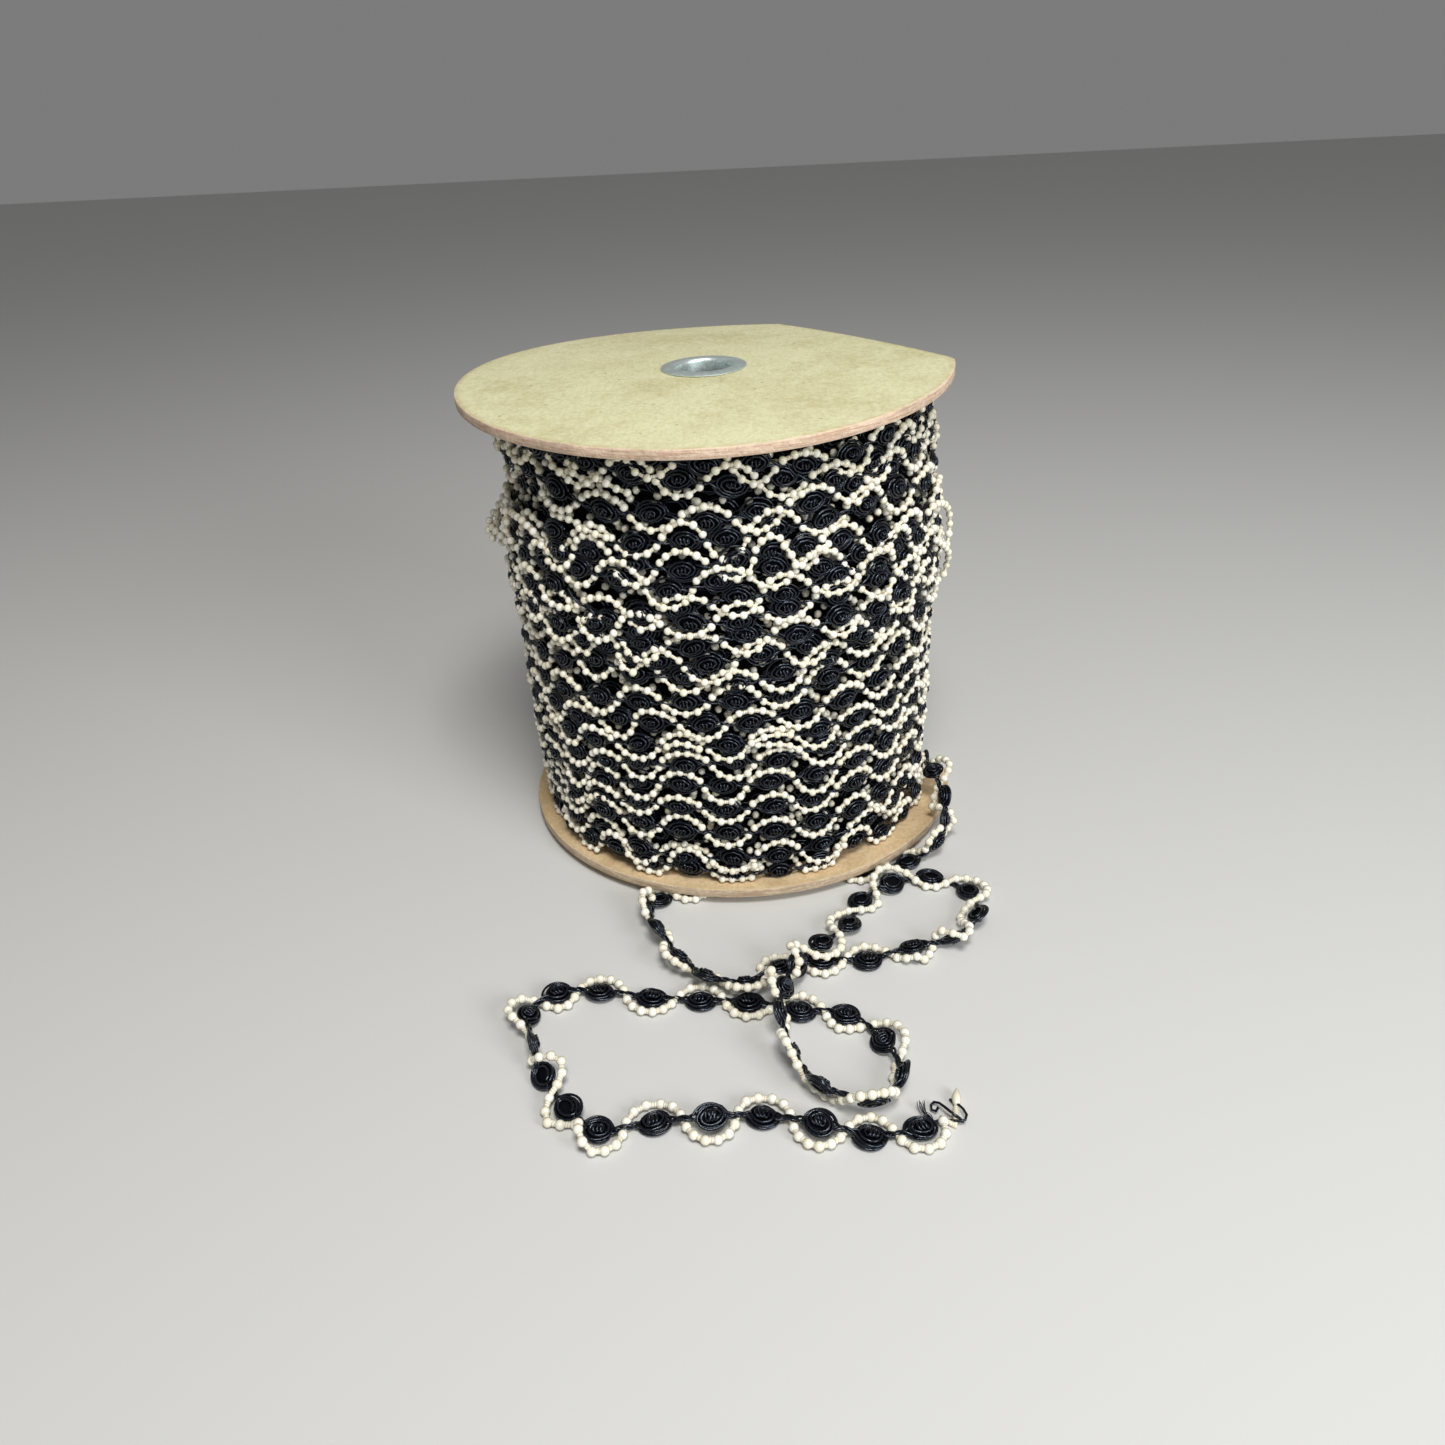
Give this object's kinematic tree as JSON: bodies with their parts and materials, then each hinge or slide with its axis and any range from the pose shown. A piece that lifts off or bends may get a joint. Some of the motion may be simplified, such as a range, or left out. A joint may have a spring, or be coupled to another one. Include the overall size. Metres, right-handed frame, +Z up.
{
  "type": "roll of rosette trim on a reel",
  "caption": "Black rosette and pearl trim wound on a board reel with steel eyelets; a loose end lies in curls in front.",
  "frame": {"origin": "centre of the reel's footprint at the surface it stands on; the loose end is left out of the box", "axes": "+Z up, +X to the right and +Y away from the front, where the loose end lies"},
  "size_m": [0.1605, 0.2518, 0.1553],
  "materials": {
    "board_lower": "matt fibre board, brown kraft faces and rim",
    "board_upper": "matt fibre board, khaki face and pinkish cut rim",
    "eyelet_lower": "zinc plated steel",
    "eyelet_upper": "zinc plated steel, worn bright at the lip",
    "wound_trim": "black satin cord roses with cream pearls",
    "loose_trim": "black satin cord roses with cream pearls"
  },
  "bodies": {
    "root": {"flange_bottom": "board_lower", "flange_top": "board_upper", "eyelet_bottom": "eyelet_lower", "eyelet_top": "eyelet_upper", "wound_roll": "wound_trim", "loose_trim": "loose_trim"}
  },
  "joints": []
}
